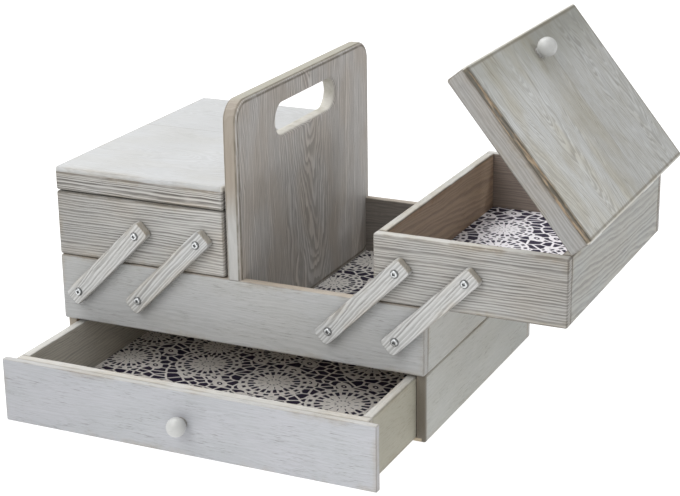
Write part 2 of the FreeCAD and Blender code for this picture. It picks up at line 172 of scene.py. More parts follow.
class Graph:
    """A node tree, and short ways to add wired nodes to it."""

    def __init__(self, tree):
        self.tree = tree

    def add(self, kind, **settings):
        node = self.tree.nodes.new(kind)
        for name, value in settings.items():
            setattr(node, name, value)
        return node

    def feed(self, socket, value):
        """Links a socket, or sets it to a number, a vector or a colour of three channels."""
        if isinstance(value, bpy.types.NodeSocket):
            self.tree.links.new(value, socket)
        else:
            socket.default_value = (*value, 1) if socket.type == "RGBA" else value

    def fill(self, node, **values):
        """Feeds a node's inputs by name: spaces in a name are underscores here."""
        for name, value in values.items():
            self.feed(node.inputs[name.replace("_", " ")], value)
        return node.outputs

    def fill_in_order(self, node, *values):
        """Feeds a node's inputs from the first one on."""
        for socket, value in zip(node.inputs, values):
            self.feed(socket, value)
        return node.outputs

    def group(self, key, **values):
        """One of the shared groups, with its inputs fed."""
        return self.fill(self.add("ShaderNodeGroup", node_tree=SHARED[key]), **values)

    def math(self, operation, *values, clamp=False):
        node = self.add("ShaderNodeMath", operation=operation, use_clamp=clamp)
        return self.fill_in_order(node, *values)[0]

    def times(self, first, second):
        return self.math("MULTIPLY", first, second)

    def minus(self, first, second):
        return self.math("SUBTRACT", first, second)

    def scaled(self, value, factor, extra):
        """value * factor + extra"""
        return self.math("MULTIPLY_ADD", value, factor, extra)

    def most(self, first, second):
        return self.math("MAXIMUM", first, second)

    def size(self, value):
        """A value without its sign."""
        return self.math("ABSOLUTE", value)

    def vector(self, operation, *values):
        return self.fill_in_order(self.add("ShaderNodeVectorMath", operation=operation), *values)[0]

    def reach(self, x, y):
        """How far a point of the XY plane lies from the origin."""
        node = self.add("ShaderNodeVectorMath", operation="LENGTH")
        return self.fill_in_order(node, self.join(x, y, 0.0))["Value"]

    def split(self, vector):
        return self.fill_in_order(self.add("ShaderNodeSeparateXYZ"), vector)

    def join(self, x, y, z):
        return self.fill_in_order(self.add("ShaderNodeCombineXYZ"), x, y, z)[0]

    def ramp(self, value, low, high, start=0.0, end=1.0):
        """A smooth step from start to end as the value goes from low to high."""
        node = self.add("ShaderNodeMapRange", interpolation_type="SMOOTHSTEP")
        return self.fill_in_order(node, value, low, high, start, end)[0]

    def fall(self, value, low, high, start=1.0):
        """A smooth step from start down to 0."""
        return self.ramp(value, low, high, start, 0.0)

    def ridge(self, value, foot, top, brow, end):
        """Rises from foot to top, and falls again from brow to end."""
        return self.times(self.ramp(value, foot, top), self.fall(value, brow, end))

    def mix(self, factor, first, second, blend="MIX"):
        node = self.add("ShaderNodeMix", data_type="RGBA", blend_type=blend, clamp_factor=True)
        for index, value in ((0, factor), (6, first), (7, second)):
            self.feed(node.inputs[index], value)
        return node.outputs[2]

    def tint(self, shade, tone):
        """The shade, multiplied by a tone."""
        return self.mix(1.0, shade, tone, "MULTIPLY")

    def toned(self, mask, shade, tone):
        """The shade, tinted as far as the mask says."""
        return self.mix(mask, shade, self.tint(shade, tone))

    def grey(self, value):
        """The same value in all three channels."""
        return self.join(value, value, value)

    def noise(self, place, detail=2.0, roughness=0.5, kind="3D"):
        node = self.add("ShaderNodeTexNoise", noise_dimensions=kind)
        self.feed(node.inputs["W" if kind == "1D" else "Vector"], place)
        return self.fill(node, Scale=1.0, Detail=detail, Roughness=roughness)[0]

    def cloud(self, place, scale, detail=2.0, roughness=0.5, shift=(0, 0, 0)):
        """Noise at a scale of its own in each direction, in waves per millimetre."""
        return self.noise(self.vector("MULTIPLY_ADD", place, scale, shift), detail, roughness)


VECTORS = ("Board", "Half Size", "Card")
COLOURS = ("Pale", "Dark", "Warm", "Rubbed", "Bare", "Inner Wash", "Rim Wash", "Color")
GRAIN_INPUTS = "Board, Seed, Ring Width, Pith Across, Pith Depth, Pith Slope, Wander"


def new_group(name, inputs, outputs):
    """An empty node group, its graph, what it is given and its output node. Its sockets' names are
    separated by commas: places and sizes are vectors, washes are colours and the rest are numbers."""
    tree = bpy.data.node_groups.new(name, "ShaderNodeTree")
    for direction, labels in (("INPUT", inputs), ("OUTPUT", outputs)):
        for label in labels.split(", "):
            kind = "Vector" if label in VECTORS else "Color" if label in COLOURS else "Float"
            tree.interface.new_socket(label, in_out=direction, socket_type="NodeSocket" + kind)
    g = Graph(tree)
    return g, g.add("NodeGroupInput").outputs, g.add("NodeGroupOutput")


def board_grain():
    """Growth rings cut by a board's faces, fibres and stain. Lengths are in millimetres along the
    board, across it and through it. The rings' centre line can lie at a slant to the board."""
    g, given, out = new_group("Board grain", GRAIN_INPUTS, "Rings, Streaks, Hairs, Stain")
    board, seed = given["Board"], given["Seed"]
    x, y, z = g.split(board)
    shift = g.join(seed, g.times(seed, 1.7), g.times(seed, -2.3))

    def field(along, across, detail, roughness=0.5):
        return g.cloud(board, (1 / along, 1 / across, 1 / across), detail, roughness, shift)

    slow = g.minus(field(170, 42, 1), 0.5)
    quick = g.minus(field(42, 13, 2), 0.5)
    wander = g.times(g.scaled(quick, 0.35, slow), given["Wander"])
    across = g.minus(y, given["Pith Across"])
    depth = g.scaled(x, given["Pith Slope"], g.minus(z, given["Pith Depth"]))
    radius = g.math("ADD", g.reach(across, depth), wander)
    count = g.math("DIVIDE", radius, given["Ring Width"])
    uneven = g.noise(g.scaled(count, 0.37, seed), 1, kind="1D")
    ring = g.scaled(uneven, 1.4, count)
    phase = g.math("FRACT", ring)
    late = g.minus(g.ramp(phase, 0.18, 0.62), g.ramp(phase, 0.86, 1.0))
    own = g.add("ShaderNodeTexWhiteNoise", noise_dimensions="1D")
    own_tone = g.fill(own, W=g.math("FLOOR", ring))[0]
    broken = g.ramp(field(24, 1.1, 2, 0.6), 0.28, 0.56, 0.45, 1.0)
    strength = g.times(broken, g.scaled(own_tone, 0.45, 0.55))
    tufts = g.ramp(field(42, 16, 2), 0.38, 0.60, 0.25, 1.0)
    g.fill(out, Rings=g.times(late, strength),
           Streaks=g.scaled(field(16, 0.7, 3, 0.65), 2.0, -1.0),
           Hairs=g.times(g.ramp(field(10, 0.46, 2, 0.6), 0.57, 0.70), tufts),
           Stain=g.ramp(field(60, 26, 3), 0.35, 0.68))
    return g.tree


def edge_distance():
    """The distance in millimetres from a point of a board's surface to its nearest edge. A board with
    a corner radius counts as a flat outline with a thickness."""
    g, given, out = new_group("Edge distance", "Board, Half Size, Corner", "Distance")
    corner = given["Corner"]
    x, y, z = g.split(g.vector("SUBTRACT", given["Half Size"], g.vector("ABSOLUTE", given["Board"])))
    median = g.most(g.math("MINIMUM", x, y), g.math("MINIMUM", g.most(x, y), z))
    past_x, past_y = g.minus(corner, x), g.minus(corner, y)
    round_part = g.reach(g.most(past_x, 0.0), g.most(past_y, 0.0))
    flat_part = g.math("MINIMUM", g.most(past_x, past_y), 0.0)
    rounded = g.most(g.minus(corner, g.math("ADD", round_part, flat_part)), z)
    choose = g.add("ShaderNodeMix", data_type="FLOAT")
    for index, value in ((0, g.math("GREATER_THAN", corner, 0.01)), (2, median), (3, rounded)):
        g.feed(choose.inputs[index], value)
    g.fill(out, Distance=choose.outputs[0])
    return g.tree


def edge_wear():
    """Where the wash is rubbed through along an edge, as a broken line, and the warm tint beside it."""
    g, given, out = new_group("Edge wear", "Board, Distance, Seed, Width", "Line, Halo")
    board, distance, width = given["Board"], given["Distance"], given["Width"]
    shift = g.grey(given["Seed"])
    rough = g.minus(g.cloud(board, (0.2, 0.2, 0.2), 3, 0.6, shift), 0.5)
    patchy = g.cloud(board, (0.03, 0.03, 0.03), shift=shift)
    line = g.fall(g.scaled(rough, width, distance), g.times(width, 0.5), g.times(width, 1.1))
    halo = g.fall(g.scaled(rough, 9.0, distance), 0.0, 6.0)
    g.fill(out, Line=g.times(line, g.ramp(patchy, 0.35, 0.60, 0.35, 1.0)),
           Halo=g.times(halo, g.ramp(patchy, 0.42, 0.65)))
    return g.tree


# The colour of the painted shade along a board's edge where it meets the next piece.
GAP_SHADE = (0.050, 0.043, 0.033)


def washed_board():
    """Washed and brushed softwood: grain, fibres, stain and rubbed edges, with a thinner wash on the
    face that looks into a box and a cream one on its rim, which is partly that cream wash and partly a
    painted highlight of the light on the top face. Inward says which way through the board its inner
    face lies, and End which end shows bare wood and how far: each is 0 where there is none. The gaps
    are painted shade: dark lines along a board's lower or upper edge where it meets the next piece."""
    g, given, out = new_group(
        "Washed board",
        GRAIN_INPUTS + ", Half Size, Corner, Pale, Dark, Contrast, Fibres, Brush, Warm, Warmth, Rubbed, Rub"
        ", Wear, Bare, End, Inner Wash, Inward, Rim Wash, Rim, Lower Gap, Upper Gap",
        "Color, Roughness, Height")
    board, rub, inward, bare_end = given["Board"], given["Rub"], given["Inward"], given["End"]
    shared = {name: given[name] for name in GRAIN_INPUTS.split(", ")}
    rings, streaks, hairs, stain = g.group("grain", **shared)
    distance = g.group("edge", Board=board, Half_Size=given["Half Size"], Corner=given["Corner"])[0]
    line, halo = g.group("wear", Board=board, Distance=distance, Seed=given["Seed"], Width=given["Wear"])
    x, y, z = g.split(board)
    half_x, half_y, half_z = g.split(given["Half Size"])
    inner = g.times(g.ramp(g.minus(g.times(z, inward), half_z), -1.6, -0.3), g.size(inward))
    # Rim: the top face turns cream, partly a cream wash and partly a painted highlight from above.
    rim = g.times(g.ramp(g.minus(y, half_y), -0.9, -0.1), given["Rim"])
    to_end = g.minus(g.times(x, g.math("SIGN", bare_end)), half_x)
    end = g.times(g.ramp(to_end, -1.3, -0.2), g.size(bare_end))
    # Painted shade: a dark line along the lower and upper edges, where the next piece sits.
    gap_shade = g.most(g.times(g.fall(g.math("ADD", half_y, y), 0.3, 1.1), given["Lower Gap"]),
                 g.times(g.fall(g.minus(half_y, y), 0.3, 1.1), given["Upper Gap"]))

    shade = g.mix(g.times(rings, given["Contrast"]), given["Pale"], given["Dark"])
    shade = g.toned(g.times(stain, given["Warmth"]), shade, given["Warm"])
    shade = g.mix(inner, shade, g.toned(g.times(rings, 0.8), given["Inner Wash"], (0.60, 0.59, 0.62)))
    shade = g.mix(rim, shade, g.toned(g.times(rings, 0.3), given["Rim Wash"], (0.70, 0.68, 0.64)))
    shade = g.mix(end, shade, given["Bare"])
    shade = g.toned(g.times(hairs, given["Fibres"]), shade, (0.55, 0.53, 0.50))
    shade = g.tint(shade, g.grey(g.scaled(streaks, given["Brush"], 1.0)))
    shade = g.toned(g.times(halo, rub), shade, (0.86, 0.77, 0.64))
    shade = g.mix(g.times(line, rub), shade, given["Rubbed"])
    relief = g.scaled(rings, given["Contrast"], g.times(streaks, 0.35))
    g.fill(out, Color=g.mix(g.times(gap_shade, 0.9), shade, GAP_SHADE),
           Roughness=g.scaled(rings, -0.10, g.scaled(hairs, 0.15, 0.64)),
           Height=g.scaled(hairs, -0.4, relief))
    return g.tree


def build_shared_groups():
    """Builds each shared effect once, the simpler ones first."""
    for key, build in (("grain", board_grain), ("edge", edge_distance), ("wear", edge_wear),
                       ("board", washed_board), ("lace", lace_print)):
        SHARED[key] = build()


def new_material(name):
    """A material with an empty tree but for its shader, and the graph that builds it."""
    material = bpy.data.materials.new(name)
    material.use_nodes = True
    return material, Graph(material.node_tree), material.node_tree.nodes["Principled BSDF"]


def placed_coordinates(g, centre=(0, 0, 0), turn=Matrix.Identity(3)):
    """Object coordinates in millimetres from a centre, in a board's own directions."""
    mapping = g.add("ShaderNodeMapping", vector_type="TEXTURE")
    return g.fill(mapping, Vector=g.add("ShaderNodeTexCoord").outputs["Object"], Location=centre,
                  Rotation=turn.to_euler(), Scale=(MM, MM, MM))[0]


def surface(g, shader, tone, roughness, height, relief):
    """Feeds a shader its maps. relief is the greatest height in metres."""
    bump = g.fill(g.add("ShaderNodeBump"), Distance=relief, Height=height)[0]
    g.fill(shader, Base_Color=tone, Roughness=roughness, Normal=bump)


def assign(piece, material):
    piece.data.materials.clear()
    piece.data.materials.append(material)


def seed_of(name):
    """A number of its own for every name."""
    return sum((index + 3) * ord(letter) for index, letter in enumerate(name)) % 971 / 7


# ---- boards ----

AXES = {"X": Vector((1, 0, 0)), "Y": Vector((0, 1, 0)), "Z": Vector((0, 0, 1))}


def lie_of(node, directions, lean=0.0):
    """How a board lies: its turn, its middle and its half size in millimetres, measured in its own
    directions. directions names the axes that its grain and its width follow before it leans."""
    along, across = AXES[directions[0]], AXES[directions[1]]
    turn = Matrix.Rotation(lean, 3, "Y") @ Matrix((along, across, along.cross(across))).transposed()
    own = [turn.transposed() @ vertex.co for vertex in frame["nodes"][node].data.vertices]
    low, high = (Vector(side(point[axis] for point in own) for axis in range(3)) for side in (min, max))
    return turn, turn @ ((low + high) / 2), (high - low) / 2 / MM


def board_material(node, directions, values, lean=0.0, pair=None):
    """A washed board's own material, from the values of its look: one of these may be a function that
    says it from place to place. pair is the index of the direction in which a node holds two boards,
    one each side of its middle."""
    turn, centre, half = lie_of(node, directions, lean)
    material, g, shader = new_material(node)
    place = placed_coordinates(g, centre, turn)
    if pair is not None:
        ways = list(g.split(place))
        ways[pair] = g.minus(g.size(ways[pair]), half[pair] - BOARD_T / 2)
        place = g.join(*ways)
        half[pair] = BOARD_T / 2
    relief, overlay = values.pop("relief"), values.pop("overlay")
    inputs = {name: value(g, place) if callable(value) else value for name, value in values.items()}
    wood = g.group("board", **{"Board": place, "Half_Size": half, "Seed": seed_of(node), **inputs})
    shade = overlay(g, place, wood["Color"]) if overlay else wood["Color"]
    surface(g, shader, shade, wood["Roughness"], wood["Height"], relief)
    assign(frame["nodes"][node], material)


def look(**changes):
    """A board's look: the washed board group's inputs, its relief and what is painted over it."""
    f = finish()
    return dict(Corner=0.0, Ring_Width=2.6, Pith_Across=-170.0, Pith_Depth=-30.0, Pith_Slope=0.0, Wander=7.0,
                Pale=f.tray_pale, Dark=f.tray_dark, Contrast=0.9, Fibres=0.45, Brush=0.2,
                Warm=(1.0, 0.93, 0.85), Warmth=0.5, Rubbed=f.rubbed, Rub=0.7, Wear=1.4, Bare=f.bare, End=0.0,
                Inner_Wash=f.inside, Inward=0.0, Rim_Wash=f.rim, Rim=0.0, Lower_Gap=0.0, Upper_Gap=0.0,
                relief=0.15 * MM, overlay=None) | changes


def washed_look(**changes):
    """The blue-grey wash that covers most of the grain."""
    return look(**dict(Dark=finish().case_dark, Contrast=0.32, Fibres=0.8, Brush=0.17, Rub=0.5,
                       Rubbed=(0.19, 0.175, 0.155), Warm=(0.96, 0.95, 0.92), Warmth=0.6, Ring_Width=1.9,
                       Pith_Across=-60.0, Pith_Depth=-45.0, Wander=14.0, relief=0.12 * MM) | changes)


# How far from a board's middle its painted light and shade go on changing, in millimetres.
LONG_HALF, SIDE_HALF, TRAY_HALF = 160.0, 120.0, 70.0
# The share of their colour that left and right boards keep: painted shade on the sides.
SIDE_SHADE = Vector((0.845, 0.855, 0.83))


def painted_light_gradient(half, left, right):
    """Painted light and shade: the colour grows lighter or darker from a board's middle to its left
    and right ends, where it keeps these shares of its colour."""
    def paint(g, place, shade):
        x = g.split(place)[0]
        share = g.times(g.ramp(x, -half, 0.0, left, 1.0), g.ramp(x, 0.0, half, 1.0, right))
        return g.tint(shade, g.grey(share))
    return paint


def box_sides(prefix, names, style, **changes):
    """The boards of an open box: each inner face looks towards the box's middle, and the left and
    right boards are painted slightly darker, as painted shade on the sides."""
    inward = {"front": -1.0, "back": 1.0, "left": 1.0, "right": -1.0}
    for name, kind in names.items():
        values = style(Inward=inward[kind], Rim=1.0, **changes)
        directions = "XZ" if kind in ("front", "back") else "YZ"
        if directions == "YZ":
            values["Pale"] = Vector(values["Pale"]) * SIDE_SHADE
        board_material(prefix + name, directions, values)


class SEWINGBOX_OT_drawer_case(bpy.types.Operator):
    """Finish the drawer case's boards"""
    bl_idname = "sewing_box.drawer_case"
    bl_label = "Drawer Case"

    def execute(self, context):
        f = finish()
        # The right side's bare front end is far darker than the left: painted shadow of the open drawer.
        for name, bare in (("left", (0.27, 0.235, 0.195)), ("right", (0.10, 0.079, 0.052)), ("back", f.bare)):
            box_sides("case_", {name: name}, washed_look, End=-0.85, Pale=f.case_pale, Bare=bare,
                      overlay=painted_light_gradient(SIDE_HALF, 1.12, 0.86))
        return {"FINISHED"}


class SEWINGBOX_OT_middle_box(bpy.types.Operator):
    """Finish the fixed middle box's boards"""
    bl_idname = "sewing_box.middle_box"
    bl_label = "Middle Box"

    def execute(self, context):
        # Each board is painted lighter or darker towards its ends: painted light and shade.
        for names, uneven in ((("front", "back"), painted_light_gradient(LONG_HALF, 0.84, 0.87)),
                              (("left", "right"), painted_light_gradient(SIDE_HALF, 1.1, 0.87))):
            box_sides("middle_", {name: name for name in names}, washed_look, Pale=finish().middle_pale,
                      Fibres=0.9, Inner_Wash=(0.24, 0.215, 0.19), Rim_Wash=(0.55, 0.49, 0.42), overlay=uneven)
        return {"FINISHED"}


class SEWINGBOX_OT_drawer(bpy.types.Operator):
    """Finish the drawer's front panel and boards"""
    bl_idname = "sewing_box.drawer"
    bl_label = "Drawer"

    def execute(self, context):
        board_material("drawer_front", "XZ", washed_look(
            Pale=finish().drawer_pale, Warm=(0.93, 0.95, 0.93), Pith_Across=-90.0, Wear=0.8, Contrast=0.25,
            Fibres=0.95, Rim=0.6, overlay=painted_light_gradient(LONG_HALF, 0.93, 1.08)))
        box_sides("drawer_", {"box_front": "front", "back": "back", "left": "left", "right": "right"},
                  washed_look, Pale=(0.45, 0.43, 0.365), Dark=(0.30, 0.28, 0.22), Fibres=0.9,
                  Inner_Wash=(0.52, 0.495, 0.43))
        return {"FINISHED"}


class SEWINGBOX_OT_trays(bpy.types.Operator):
    """Finish both trays' boards"""
    bl_idname = "sewing_box.trays"
    bl_label = "Trays"

    def execute(self, context):
        for side, outer, inner, closed in (("left", "left", "right", 1.0), ("right", "right", "left", 0.0)):
            box_sides(side + "_tray_", {"front": "front", "back": "back"}, look, Ring_Width=2.25,
                      Inner_Wash=(0.26, 0.213, 0.178), Contrast=0.72, Lower_Gap=0.75, Upper_Gap=0.5 * closed,
                      overlay=painted_light_gradient(TRAY_HALF, *((0.82, 1.15) if closed else (1.0, 0.85))))
            box_sides(side + "_tray_", {"outer": outer, "inner": inner}, look, Contrast=0.7, Ring_Width=3.4,
                      Wander=16.0, Pale=(0.46, 0.463, 0.455), Dark=(0.15, 0.15, 0.145), Pith_Across=-45.0,
                      Pith_Slope=0.08, Lower_Gap=0.5, Upper_Gap=0.45 * closed)
        return {"FINISHED"}


LID_JOINT = 20.0
LID_HALF = half_size("left_lid_top")
LINE_SHADE = (0.15, 0.13, 0.09)


def lid_joint(before, after):
    """A value that changes where a lid panel's two boards are glued together."""
    def choose(g, place):
        behind = g.math("GREATER_THAN", g.split(place)[1], LID_JOINT)
        return g.scaled(behind, after - before, before)
    return choose


def lid_edges(bare, free):
    """What is painted over a lid panel: the fine dark line of that joint, a lighter front board, a
    darker part towards the edge without hinges, a painted highlight along that edge, and the panel's
    edges, washed so thinly that the wood shows as far as bare says. free is 1 where that edge is on
    the board's right, else -1."""
    def paint(g, place, shade):
        x, y = g.split(place)[:2]
        shade = g.mix(g.fall(g.size(g.minus(y, LID_JOINT)), 0.1, 0.5, 0.55), shade, (0.17, 0.15, 0.12))
        # Lighter on the front board, as far as bare says.
        shade = g.toned(g.fall(y, -60.0, 10.0, bare), shade, (1.21, 1.21, 1.21))
        # Darker towards the edge without hinges, more so towards the back.
        darker_towards_free_edge = g.times(g.ramp(y, -30.0, 40.0, 0.75 * bare, 1.1 * bare),
                       g.fall(g.scaled(x, -free, LID_HALF.x), 0.0, 55.0))
        shade = g.toned(darker_towards_free_edge, shade, (0.63, 0.63, 0.59))
        mottle = g.cloud(place, (0.045, 0.10, 0.10), 4, 0.7)
        shade = g.toned(g.ramp(mottle, 0.42, 0.66, 0.0, bare * 0.75), shade, (0.84, 0.815, 0.765))
        from_edge = g.minus(LID_HALF.y, g.size(y))
        wavy = g.cloud(place, (0.06, 0.5, 0.5), 3, 0.6)
        tan = g.mix(g.ramp(wavy, 0.44, 0.62), (0.065, 0.054, 0.036), (0.30, 0.215, 0.13))
        shade = g.mix(g.fall(from_edge, 0.9, 2.3, bare), shade, tan)
        free_edge = g.minus(LID_HALF.x, g.size(x))
        for away, amount in ((from_edge, bare * 0.7), (free_edge, bare * 0.6)):
            shade = g.mix(g.times(g.ridge(away, 1.3, 2.0, 2.8, 4.0), amount), shade, LINE_SHADE)
        # Painted highlight: a cream band along the rounded free edge.
        return g.mix(g.fall(free_edge, 0.9, 1.6, 0.7), shade, (0.66, 0.64, 0.58))
    return paint


class SEWINGBOX_OT_lids(bpy.types.Operator):
    """Finish both lids' panels and rails"""
    bl_idname = "sewing_box.lids"
    bl_label = "Lids"

    def execute(self, context):
        f = finish()
        for side, lean, free, bare, pale, contrast, warmth, rub in (
                ("left", 0.0, 1.0, 0.1, f.lid_white, 0.22, 0.25, 0.25),
                ("right", LID_RAISE, -1.0, 0.9, f.lid_pale, 0.65, 0.9, 0.7)):
            board_material(side + "_lid_top", "XY", look(
                Seed=lid_joint(11.0 + lean, 47.0), Pith_Across=lid_joint(-56.0, 96.0),
                Pith_Depth=lid_joint(-12.0, -30.0), Pith_Slope=lid_joint(0.22, 0.10), Ring_Width=2.3,
                Wander=38.0, Pale=pale, Dark=(0.25, 0.245, 0.23), Contrast=contrast, Brush=0.08,
                Warm=(0.90, 0.86, 0.77), Warmth=lid_joint(warmth, warmth / 3), Wear=1.3, Rub=rub,
                overlay=lid_edges(bare, free), relief=0.08 * MM), lean)
        for side, lean, lower_gap_shade, cross_look in (
                ("left", 0.0, 0.5, dict(Ring_Width=2.25, overlay=painted_light_gradient(TRAY_HALF, 0.95, 1.17))),
                ("right", LID_RAISE, 0.0, dict(Pale=(0.33, 0.328, 0.318), Dark=(0.15, 0.138, 0.13),
                                               Contrast=0.5, Wander=16.0))):
            board_material(side + "_lid_cross_rails", "XZ", look(Lower_Gap=0.6, **cross_look), lean, 2)
            board_material(side + "_lid_side_rails", "YZ", look(Contrast=0.6, Lower_Gap=lower_gap_shade), lean, 2)
        return {"FINISHED"}


HANDLE_CORNER = 17.0
HANDLE_HALF = half_size("handle_board")


def hand_hole():
    """The hand hole's lowest and highest corners, found from the points of the handle board's own mesh
    that lie well inside its outline and near its top."""
    low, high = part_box("handle_board")
    side, lowest, highest = high.y - 20 * MM, high.z - 50 * MM, high.z - 10 * MM
    inner = [vertex.co for vertex in frame["nodes"]["handle_board"].data.vertices
             if abs(vertex.co.y) < side and lowest < vertex.co.z < highest]
    return (Vector((low.x, min(p.y for p in inner), min(p.z for p in inner))),
            Vector((high.x, max(p.y for p in inner), max(p.z for p in inner))))


def hand_hole_edge(g, place):
    """The distance in millimetres from the outline of the handle board's hand hole."""
    low, high = hand_hole()
    half = (high - low) / 2 / MM
    rise = ((low + high) / 2 - sum(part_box("handle_board"), Vector()) / 2) / MM
    x, y = g.split(place)[:2]
    return g.minus(g.reach(g.minus(x, rise.z), g.most(g.minus(g.size(y), half.y - half.z), 0.0)), half.z)


def handle_edges(g, place, shade):
    """The browner rounded edge of the handle board, the dark line where it meets the faces, and the
    creamy inside of the hand hole."""
    x, y, z = g.split(place)
    half = HANDLE_HALF
    inwards = g.minus(half.x, g.size(z))
    outline = g.group("edge", Board=place, Half_Size=(half.z, half.y, 0.0), Corner=HANDLE_CORNER)[0]
    broken = g.ramp(g.cloud(place, (0.10, 0.10, 0.10), 3, 0.6), 0.30, 0.60)
    edge = g.fall(outline, 0.3, 1.2)
    past_corner = g.ramp(g.minus(half.y, g.size(y)), 7.0, 18.0)
    low_down = g.ramp(x, -0.15 * half.z, 0.35 * half.z)
    brown = g.mix(past_corner, g.mix(low_down, (0.90, 0.95, 1.0), (0.61, 0.565, 0.505)), (0.78, 0.79, 0.72))
    shade = g.mix(edge, shade, g.tint(g.mix(0.75, shade, (0.53, 0.50, 0.46)), brown))
    in_hole = g.times(g.fall(hand_hole_edge(g, place), 0.4, 1.6), g.ramp(inwards, 0.8, 2.4))
    shade = g.mix(in_hole, shade, g.mix(broken, (0.47, 0.45, 0.39), (0.60, 0.58, 0.53)))
    arris = g.times(g.ridge(outline, 1.2, 2.4, 2.9, 4.2), g.fall(inwards, 0.3, 1.6))
    line = g.scaled(g.ridge(inwards, 0.5, 1.3, 1.8, 2.8), edge, arris)
    return g.mix(g.times(line, g.scaled(broken, 0.4, 0.45)), shade, (0.15, 0.13, 0.095))


class SEWINGBOX_OT_handle(bpy.types.Operator):
    """Finish the handle board"""
    bl_idname = "sewing_box.handle"
    bl_label = "Handle Board"

    def execute(self, context):
        f = finish()
        board_material("handle_board", "ZY", look(
            Pale=f.handle_dark, Dark=f.handle_pale, Contrast=0.85, Corner=HANDLE_CORNER, Ring_Width=2.1,
            Pith_Across=4.0, Pith_Depth=14.0, Pith_Slope=0.13, Wander=22.0, Wear=0.9, Rub=0.1,
            Warm=(0.93, 0.86, 0.78), Warmth=0.7, overlay=handle_edges, relief=0.2 * MM))
        return {"FINISHED"}


ARM_CORNER = 3.6


def screw_shadow_ring(g, place, shade):
    """Painted shadow: a dark ring round each screw head on an arm's face."""
    x, y = g.split(place)[:2]
    head = fittings().head / MM
    from_screw = g.reach(g.minus(g.size(x), ARM_STEP.length / 2 / MM), y)
    # Painted shadow round the head.
    return g.mix(g.fall(from_screw, head + 0.2, head + 0.9, 0.7), shade, (0.06, 0.065, 0.065))


class SEWINGBOX_OT_arms(bpy.types.Operator):
    """Finish the eight arms"""
    bl_idname = "sewing_box.arms"
    bl_label = "Arms"

    def execute(self, context):
        for side in ("left", "right"):
            for place in ("outer", "inner"):
                for end in ("front", "back"):
                    board_material(f"{side}_{place}_arm_{end}", "ZX", look(
                        Corner=ARM_CORNER, Contrast=0.7, Ring_Width=1.7, Pith_Across=-50.0, Pith_Depth=-60.0,
                        Pith_Slope=0.05, Wander=9.0, Wear=0.7, Rub=0.4, Pale=finish().arm_pale,
                        Dark=(0.18, 0.175, 0.165), Fibres=0.7, Warmth=0.15, End=0.6, overlay=screw_shadow_ring),
                        ARM_LEAN)
        return {"FINISHED"}


# ---- sheet pieces: plywood and lining ----

LACE_SPACING = 62.0
PRINT_BLUR = 0.02


def lace_print():
    """A printed lace of round flowers and leaves on a net, for a card that lies flat. Lengths in
    millimetres; a flower's radius is its own share of the spacing."""
    g, given, out = new_group("Lace print", "Card, Spacing, Seed", "Thread")
    spacing, seed = given["Spacing"], given["Seed"]
    shifted = g.vector("ADD", given["Card"], g.join(seed, g.times(seed, 1.3), 0.0))
    flat = g.vector("MULTIPLY", shifted, (1.0, 1.0, 0.0))

    def cells(vector, feature, randomness, scale=1.0):
        """Cells round scattered points of the card."""
        node = g.add("ShaderNodeTexVoronoi", voronoi_dimensions="2D", feature=feature)
        return g.fill(node, Vector=vector, Scale=scale, Randomness=randomness)

    flower = cells(flat, "F1", 0.5, g.math("DIVIDE", 1.0, spacing))
    x, y = g.split(g.vector("SUBTRACT", flat, flower["Position"]))[:2]
    own, turn = g.split(flower["Color"])[:2]
    r = g.math("DIVIDE", g.reach(x, y), g.times(spacing, g.scaled(own, 0.10, 0.37)))
    angle = g.scaled(turn, 6.0, g.math("ARCTAN2", y, x))

    def around(count, phase=0.0):
        """A wave that rises and falls so many times round a flower, from -1 to 1."""
        return g.math("COSINE", g.scaled(angle, count, phase))

    def band(low, high):
        return g.ridge(r, low - PRINT_BLUR, low + PRINT_BLUR, high - PRINT_BLUR, high + PRINT_BLUR)

    def openings(low, high, count, least, most, phase=0.0):
        return g.times(band(low, high), g.ramp(around(count, phase), least, most))

    petal = g.scaled(g.size(around(6)), 0.10, 0.52)
    past_petal = g.ramp(g.minus(r, petal), -PRINT_BLUR, PRINT_BLUR)
    holes = g.times(past_petal, openings(0.4, 0.78, 24, -0.55, -0.2, 0.5))
    for pattern in (openings(0.17, 0.22, 11, 0.2, 0.6), openings(0.34, 0.47, 12, 0.86, 0.96, 3.14),
                    openings(0.86, 0.97, 18, -0.1, 0.3, 1.0)):
        holes = g.most(holes, pattern)
    meshes = cells(g.vector("MULTIPLY", flat, (1 / 10.0, 1 / 7.8, 0.0)), "DISTANCE_TO_EDGE", 0.95)
    slanted = g.fill(g.add("ShaderNodeVectorRotate", rotation_type="Z_AXIS"), Vector=flat, Angle=0.7)[0]
    leaf = cells(g.vector("MULTIPLY", slanted, (1 / 33.0, 1 / 21.0, 0.0)), "F1", 0.8)["Distance"]
    net = g.times(g.ramp(meshes["Distance"], 0.085, 0.12), g.ramp(leaf, 0.25, 0.28))
    field = g.most(net, g.ridge(leaf, 0.03, 0.05, 0.09, 0.11))
    outside = g.ramp(r, 1.03, 1.06)
    inside_open = g.times(holes, g.minus(1.0, outside))
    g.fill(out, Thread=g.math("SUBTRACT", 1.0, g.scaled(field, outside, inside_open), clamp=True))
    return g.tree


